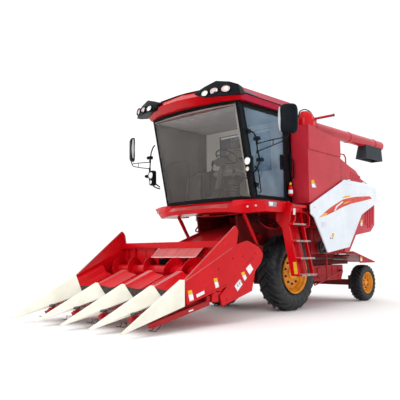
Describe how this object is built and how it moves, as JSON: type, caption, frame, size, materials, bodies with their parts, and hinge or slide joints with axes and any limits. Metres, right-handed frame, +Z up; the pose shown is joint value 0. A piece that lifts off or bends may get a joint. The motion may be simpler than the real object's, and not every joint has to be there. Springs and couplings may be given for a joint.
{
  "type": "combine harvester with a maize header",
  "caption": "Self-propelled red combine with glass cab, grain tank, side unloading auger, white side doors and a corn header with cream snouts.",
  "frame": {"origin": "on the ground under the middle of the whole machine", "axes": "+Z up, the machine faces -Y, its left side (ladder and cab door) is +X"},
  "size_m": [3.97, 7.584, 3.8],
  "materials": {
    "red_paint": "gloss red machine paint",
    "dark_red_paint": "dark red chassis paint",
    "red_plastic": "gloss red moulded panel",
    "white_paint": "white side door paint with a red and orange stripe",
    "cream_plastic": "cream moulded snout",
    "rim_yellow": "orange-yellow wheel paint",
    "tyre": "black lugged tyre",
    "black_plastic": "black moulding",
    "black_steel": "black painted steel",
    "tinted_glass": "grey tinted glass",
    "bare_steel": "bright worn steel",
    "grey_casting": "grey castings",
    "seat_cloth": "black seat cover",
    "spout_rubber": "black rubber spout"
  },
  "bodies": {
    "machine": {"belt_drive": "grey_casting", "cab_frame": "black_steel", "cab_roof": "red_plastic", "chassis_frame": "dark_red_paint", "driver_seat": "seat_cloth", "engine_block": "grey_casting", "engine_hood": "red_paint", "front_axle": "dark_red_paint", "front_fairing": "red_plastic", "grain_tank": "red_paint", "ladder": "red_paint", "mirror_left": "black_plastic", "mirror_right": "black_plastic", "rear_axle": "red_paint", "rear_window": "tinted_glass", "right_window": "tinted_glass", "roof_light_left": "black_plastic", "roof_light_right": "black_plastic", "side_console": "black_plastic", "steering_column": "black_plastic", "straw_hood": "red_paint", "tail_deflector": "red_paint", "threshing_body": "dark_red_paint", "windscreen": "tinted_glass"},
    "front_wheel_left": {"front_tyre_left": "tyre", "front_rim_left": "rim_yellow"},
    "front_wheel_right": {"front_tyre_right": "tyre", "front_rim_right": "rim_yellow"},
    "rear_wheel_left": {"rear_tyre_left": "tyre", "rear_rim_left": "rim_yellow"},
    "rear_wheel_right": {"rear_tyre_right": "tyre", "rear_rim_right": "rim_yellow"},
    "left_knuckle": {"knuckle_left": "grey_casting"},
    "right_knuckle": {"knuckle_right": "grey_casting"},
    "track_rod": {"tie_rod": "bare_steel"},
    "cab_door": {"cab_door": "black_steel", "cab_door_glass": "tinted_glass"},
    "left_side_door": {"side_door_left": "white_paint"},
    "right_side_door": {"side_door_right": "white_paint"},
    "unloading_auger": {"unloading_elbow": "red_paint", "unloading_tube": "red_paint", "unloading_spout": "spout_rubber"},
    "header": {"feeder_house": "red_paint", "header_frame": "red_paint", "row_hoods": "red_paint", "row_units": "dark_red_paint"},
    "gathering_auger": {"header_auger": "red_paint"},
    "left_lift_barrel": {"lift_barrel_left": "black_steel"},
    "right_lift_barrel": {"lift_barrel_right": "black_steel"},
    "left_lift_rod": {"lift_rod_left": "bare_steel"},
    "right_lift_rod": {"lift_rod_right": "bare_steel"},
    "snout_1": {"snout_1": "cream_plastic"},
    "snout_2": {"snout_2": "cream_plastic"},
    "snout_3": {"snout_3": "cream_plastic"},
    "snout_4": {"snout_4": "cream_plastic"},
    "snout_5": {"snout_5": "cream_plastic"}
  },
  "joints": [
    {"name": "front_wheel_left_roll", "type": "hinge", "parent": "machine", "child": "front_wheel_left", "pos_m": [0.79, 0.412, 0.67572], "axis": [1, 0, 0], "continuous": true},
    {"name": "front_wheel_right_roll", "type": "hinge", "parent": "machine", "child": "front_wheel_right", "pos_m": [-0.79, 0.412, 0.67572], "axis": [1, 0, 0], "continuous": true},
    {"name": "steer_left", "type": "hinge", "parent": "machine", "child": "left_knuckle", "pos_m": [0.7, 3.062, 0.37675], "axis": [0, 0, 1], "range_deg": [-35, 35]},
    {"name": "steer_right", "type": "hinge", "parent": "machine", "child": "right_knuckle", "pos_m": [-0.7, 3.062, 0.37675], "axis": [0, 0, 1], "range_deg": [-35, 35]},
    {"name": "track_rod_pin", "type": "hinge", "parent": "left_knuckle", "child": "track_rod", "pos_m": [0.7, 3.242, 0.32475], "axis": [0, 0, 1], "range_deg": [-35, 35]},
    {"name": "rear_wheel_left_roll", "type": "hinge", "parent": "left_knuckle", "child": "rear_wheel_left", "pos_m": [0.91, 3.062, 0.37675], "axis": [1, 0, 0], "continuous": true},
    {"name": "rear_wheel_right_roll", "type": "hinge", "parent": "right_knuckle", "child": "rear_wheel_right", "pos_m": [-0.91, 3.062, 0.37675], "axis": [1, 0, 0], "continuous": true},
    {"name": "cab_door_hinge", "type": "hinge", "parent": "machine", "child": "cab_door", "pos_m": [1.037, -0.74125, 1.958], "axis": [0, 0.2195, -0.9756], "range_deg": [0, 55]},
    {"name": "left_side_door_hinge", "type": "hinge", "parent": "machine", "child": "left_side_door", "pos_m": [1.365, 2.012, 2.42], "axis": [0, -1, 0], "range_deg": [0, 75]},
    {"name": "right_side_door_hinge", "type": "hinge", "parent": "machine", "child": "right_side_door", "pos_m": [-1.365, 2.012, 2.42], "axis": [0, 1, 0], "range_deg": [0, 75]},
    {"name": "unloading_auger_swing", "type": "hinge", "parent": "machine", "child": "unloading_auger", "pos_m": [1.05, 0.752, 3.39], "axis": [0, 0, -1], "range_deg": [0, 100]},
    {"name": "header_lift", "type": "hinge", "parent": "machine", "child": "header", "pos_m": [0, -0.008, 1.32], "axis": [-1, 0, 0], "range_deg": [-1, 20]},
    {"name": "gathering_auger_turn", "type": "hinge", "parent": "header", "child": "gathering_auger", "pos_m": [0, -1.883, 0.74], "axis": [1, 0, 0], "continuous": true},
    {"name": "left_lift_barrel_pin", "type": "hinge", "parent": "machine", "child": "left_lift_barrel", "pos_m": [0.3, 0.162, 0.53], "axis": [-1, 0, 0], "range_deg": [-2, 18]},
    {"name": "left_lift_rod_slide", "type": "slide", "parent": "left_lift_barrel", "child": "left_lift_rod", "axis": [0, -0.9997, 0.0261], "range_m": [-0.03, 0.3]},
    {"name": "right_lift_barrel_pin", "type": "hinge", "parent": "machine", "child": "right_lift_barrel", "pos_m": [-0.3, 0.162, 0.53], "axis": [-1, 0, 0], "range_deg": [-2, 18]},
    {"name": "right_lift_rod_slide", "type": "slide", "parent": "right_lift_barrel", "child": "right_lift_rod", "axis": [0, -0.9997, 0.0261], "range_m": [-0.03, 0.3]},
    {"name": "snout_1_hinge", "type": "hinge", "parent": "header", "child": "snout_1", "pos_m": [1.19, -2.713, 0.68], "axis": [-1, 0, 0], "range_deg": [0, 30]},
    {"name": "snout_2_hinge", "type": "hinge", "parent": "header", "child": "snout_2", "pos_m": [0.65, -2.713, 0.585], "axis": [-1, 0, 0], "range_deg": [0, 30]},
    {"name": "snout_3_hinge", "type": "hinge", "parent": "header", "child": "snout_3", "pos_m": [0, -2.713, 0.585], "axis": [-1, 0, 0], "range_deg": [0, 30]},
    {"name": "snout_4_hinge", "type": "hinge", "parent": "header", "child": "snout_4", "pos_m": [-0.65, -2.713, 0.585], "axis": [-1, 0, 0], "range_deg": [0, 30]},
    {"name": "snout_5_hinge", "type": "hinge", "parent": "header", "child": "snout_5", "pos_m": [-1.19, -2.713, 0.68], "axis": [-1, 0, 0], "range_deg": [0, 30]}
  ],
  "couplings": [
    {"joint": "steer_right", "follows": "steer_left", "ratio": 1},
    {"joint": "track_rod_pin", "follows": "steer_left", "ratio": -1},
    {"joint": "left_lift_barrel_pin", "follows": "header_lift", "ratio": 0.7845},
    {"joint": "left_lift_rod_slide", "follows": "header_lift", "m_per_rad": 0.7591},
    {"joint": "right_lift_barrel_pin", "follows": "header_lift", "ratio": 0.7845},
    {"joint": "right_lift_rod_slide", "follows": "header_lift", "m_per_rad": 0.7591}
  ]
}
